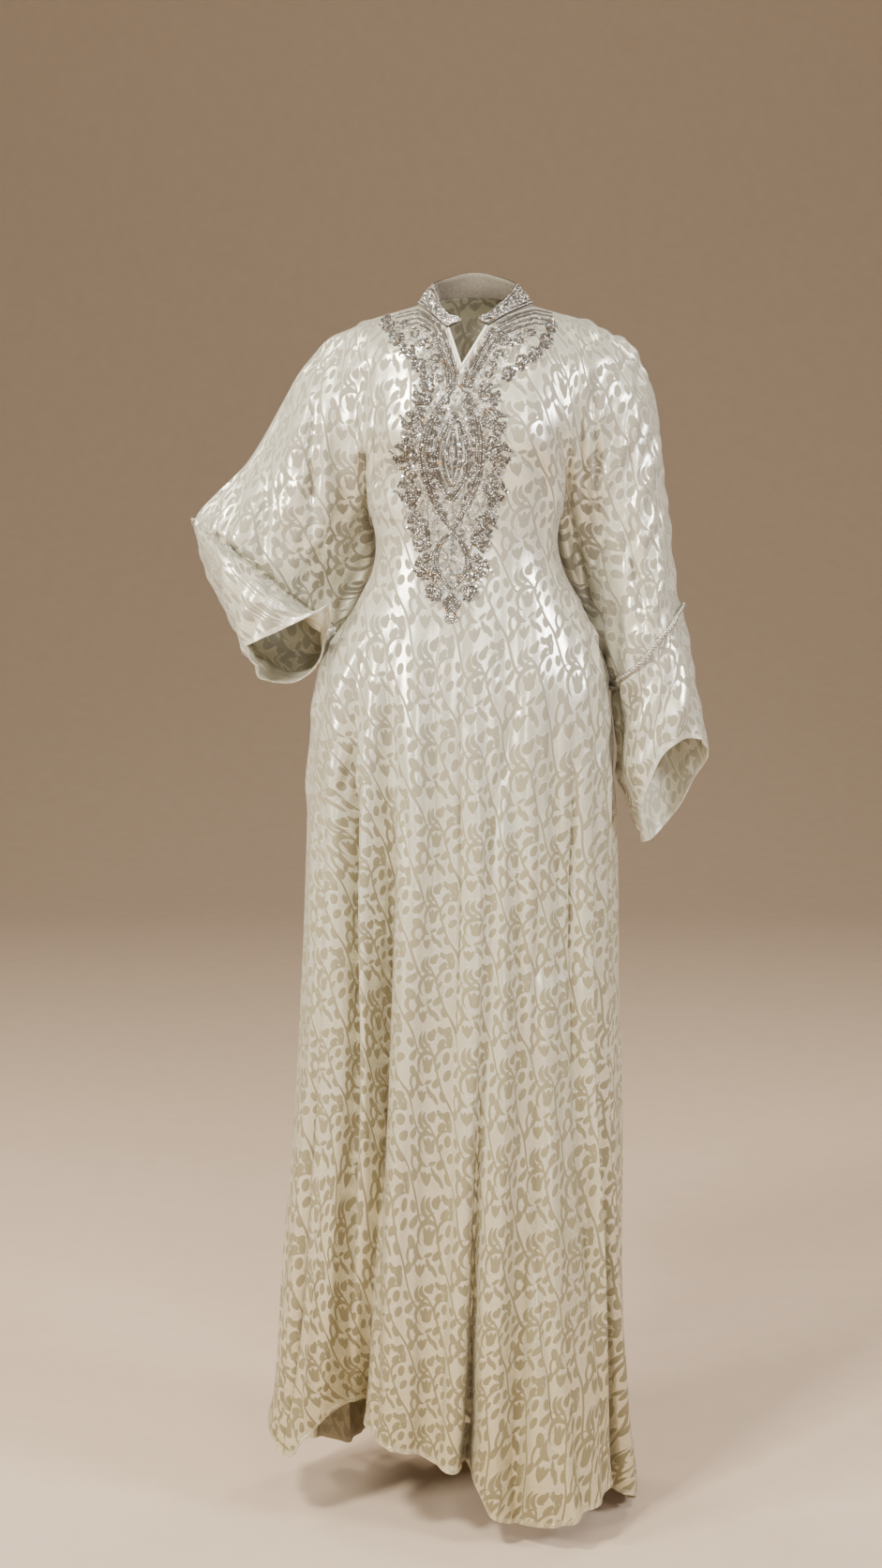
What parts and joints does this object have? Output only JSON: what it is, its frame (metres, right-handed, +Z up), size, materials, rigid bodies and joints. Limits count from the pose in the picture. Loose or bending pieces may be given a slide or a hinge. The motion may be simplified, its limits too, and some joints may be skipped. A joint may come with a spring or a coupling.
{
  "type": "kaftan",
  "caption": "Full-length ivory kaftan with wide bat-wing sleeves, a beaded stand collar and bib, hanging open and hollow as worn with one hand on the hip.",
  "frame": {"origin": "centre of the neck at the height where the shoulders carry the cloth", "axes": "+Z up, the front faces -Y, +X is the wearer's left"},
  "size_m": [0.6421, 0.3365, 1.5556],
  "materials": {
    "satin": "ivory silk satin with a burnt-out vine pattern, satin sheen",
    "beading": "cloth covered with silver-grey beads and small crystals",
    "piping": "white satin piping",
    "silver_braid": "silver metallic braid"
  },
  "bodies": {
    "root": {"front": "satin", "back": "satin", "lower_sleeve_left": "satin", "lower_sleeve_right": "satin", "collar": "beading", "applique": "beading", "notch_binding_left": "piping", "notch_binding_right": "piping", "braid_left": "silver_braid", "braid_right": "silver_braid"}
  },
  "joints": []
}
